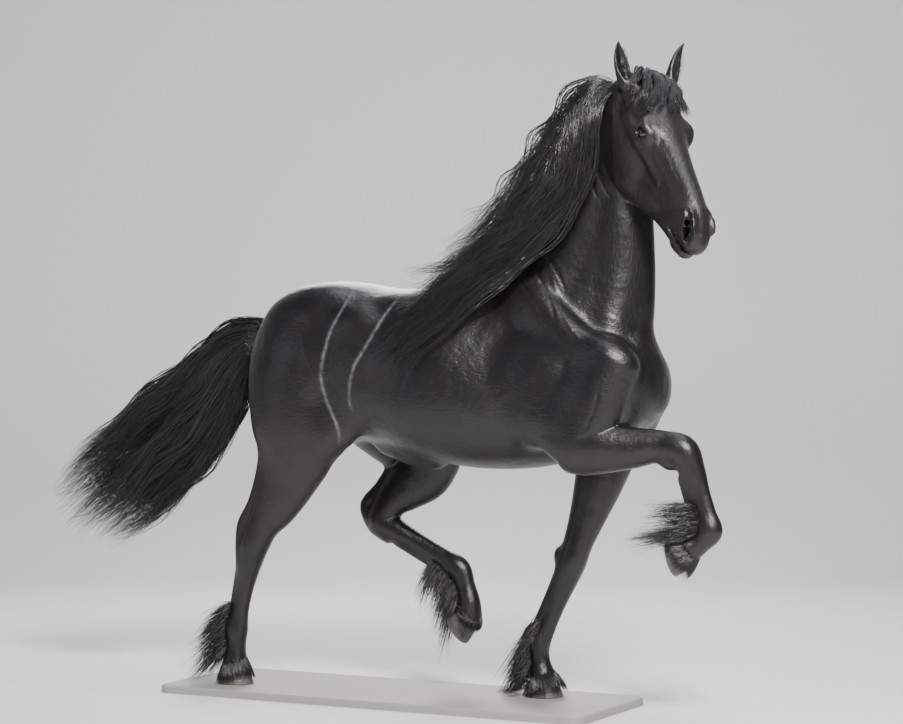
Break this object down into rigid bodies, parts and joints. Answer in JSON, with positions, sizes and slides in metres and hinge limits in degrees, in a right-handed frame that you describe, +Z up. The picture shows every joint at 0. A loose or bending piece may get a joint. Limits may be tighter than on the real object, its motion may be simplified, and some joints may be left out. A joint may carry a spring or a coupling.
{
  "type": "friesian horse",
  "caption": "Life-size friesian stallion at the trot, black, with long wavy mane, tail and feathered legs, on a low base.",
  "frame": {"origin": "centre of the bounding box, at the underside of the base", "axes": "+X to the nose, +Y to the animal's left, +Z up"},
  "size_m": [3.0474, 0.6816, 2.463],
  "materials": {
    "coat": "glossy short black coat",
    "hair": "long wavy black hair",
    "eye": "wet and dark",
    "hoof": "dull dark horn",
    "stand": "matt grey"
  },
  "bodies": {
    "root": {"head": "coat", "ear_left": "coat", "ear_right": "coat", "neck": "coat", "torso": "coat", "tail": "hair", "fore_left_upper": "coat", "fore_left_lower": "coat", "fore_right_upper": "coat", "fore_right_lower": "coat", "hind_left_upper": "coat", "hind_left_lower": "coat", "hind_right_upper": "coat", "hind_right_lower": "coat", "eye_left": "eye", "eye_right": "eye", "hoof_fore_left": "hoof", "hoof_fore_right": "hoof", "hoof_hind_left": "hoof", "hoof_hind_right": "hoof", "stand_base": "stand"}
  },
  "joints": []
}
